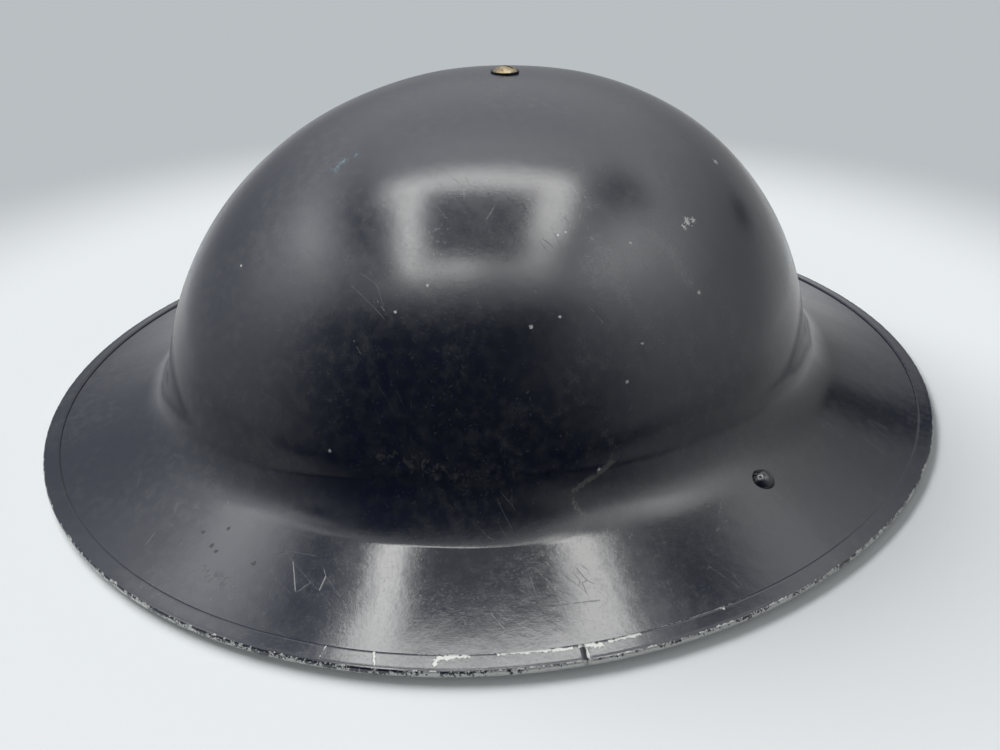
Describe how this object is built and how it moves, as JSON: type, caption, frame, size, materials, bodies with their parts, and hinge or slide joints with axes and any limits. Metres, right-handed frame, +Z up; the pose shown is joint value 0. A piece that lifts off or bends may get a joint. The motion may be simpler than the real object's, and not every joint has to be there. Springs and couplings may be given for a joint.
{
  "type": "brodie helmet",
  "caption": "Shallow steel helmet with a wide flat brim, folded rim edging, crown screw, buffered liner and webbing chinstrap",
  "frame": {"origin": "middle of the plane that the rim rests on", "axes": "+Z up, -Y front, +X the wearer's left; the long axis is Y"},
  "size_m": [0.2844, 0.3046, 0.1049],
  "materials": {
    "shell_paint": "worn dark navy semi-gloss paint over pressed steel",
    "edging_paint": "dark navy paint, chipped to bright steel along the fold",
    "brass_screw": "aged slotted brass",
    "black_washer": "black painted steel",
    "felt_pad": "dark pressed felt",
    "oilcloth": "black coated cloth with a fine grain",
    "zinc_plate": "plain plated steel",
    "fibre": "dark vulcanised fibre board",
    "buffer_rubber": "black moulded rubber",
    "rivet_metal": "dull tubular rivets",
    "lug_paint": "dark navy paint over steel strip",
    "rivet_paint": "dark navy painted rivet",
    "loop_wire": "blackened steel wire",
    "webbing": "woven khaki cotton webbing",
    "slide_brass": "dull sheet brass"
  },
  "bodies": {
    "root": {"shell": "shell_paint", "rim_band": "edging_paint", "crown_screw": "brass_screw", "crown_washer": "black_washer", "crown_pad": "felt_pad", "crown_strap_long": "oilcloth", "crown_strap_cross": "oilcloth", "crown_plate": "zinc_plate", "crown_nut": "brass_screw", "headband_frame": "fibre", "sweatband": "oilcloth", "buffer_front": "buffer_rubber", "buffer_rear": "buffer_rubber", "buffer_left": "buffer_rubber", "buffer_right": "buffer_rubber", "buffer_rivets": "rivet_metal", "strap_rivets": "rivet_metal", "lug_plate_left": "lug_paint", "lug_plate_right": "lug_paint", "lug_rivet_left": "rivet_paint", "lug_rivet_right": "rivet_paint"},
    "loop_left": {"lug_loop_left": "loop_wire"},
    "loop_right": {"lug_loop_right": "loop_wire"},
    "strap_ends": {"webbing_end_left": "webbing", "webbing_end_right": "webbing", "webbing_end_rivets": "rivet_metal"},
    "strap": {"chinstrap": "webbing", "strap_slide": "slide_brass", "strap_tail": "webbing"}
  },
  "joints": [
    {"name": "loop_left_swing", "type": "hinge", "parent": "root", "child": "loop_left", "pos_m": [0.0994, 0, 0.01597], "axis": [0, 1, 0], "range_deg": [-20, 20]},
    {"name": "loop_right_swing", "type": "hinge", "parent": "root", "child": "loop_right", "pos_m": [-0.0994, 0, 0.01597], "axis": [0, 1, 0], "range_deg": [-20, 20]},
    {"name": "strap_end_pivot", "type": "hinge", "parent": "loop_left", "child": "strap_ends", "pos_m": [0.0994, 0, 0.00437], "axis": [0, 1, 0], "range_deg": [-20, 20]},
    {"name": "chinstrap_swing", "type": "hinge", "parent": "strap_ends", "child": "strap", "pos_m": [0, 0, 0.00437], "axis": [1, 0, 0], "range_deg": [0, 120]}
  ],
  "couplings": [
    {"joint": "loop_right_swing", "follows": "loop_left_swing", "ratio": 1},
    {"joint": "strap_end_pivot", "follows": "loop_left_swing", "ratio": -1}
  ]
}
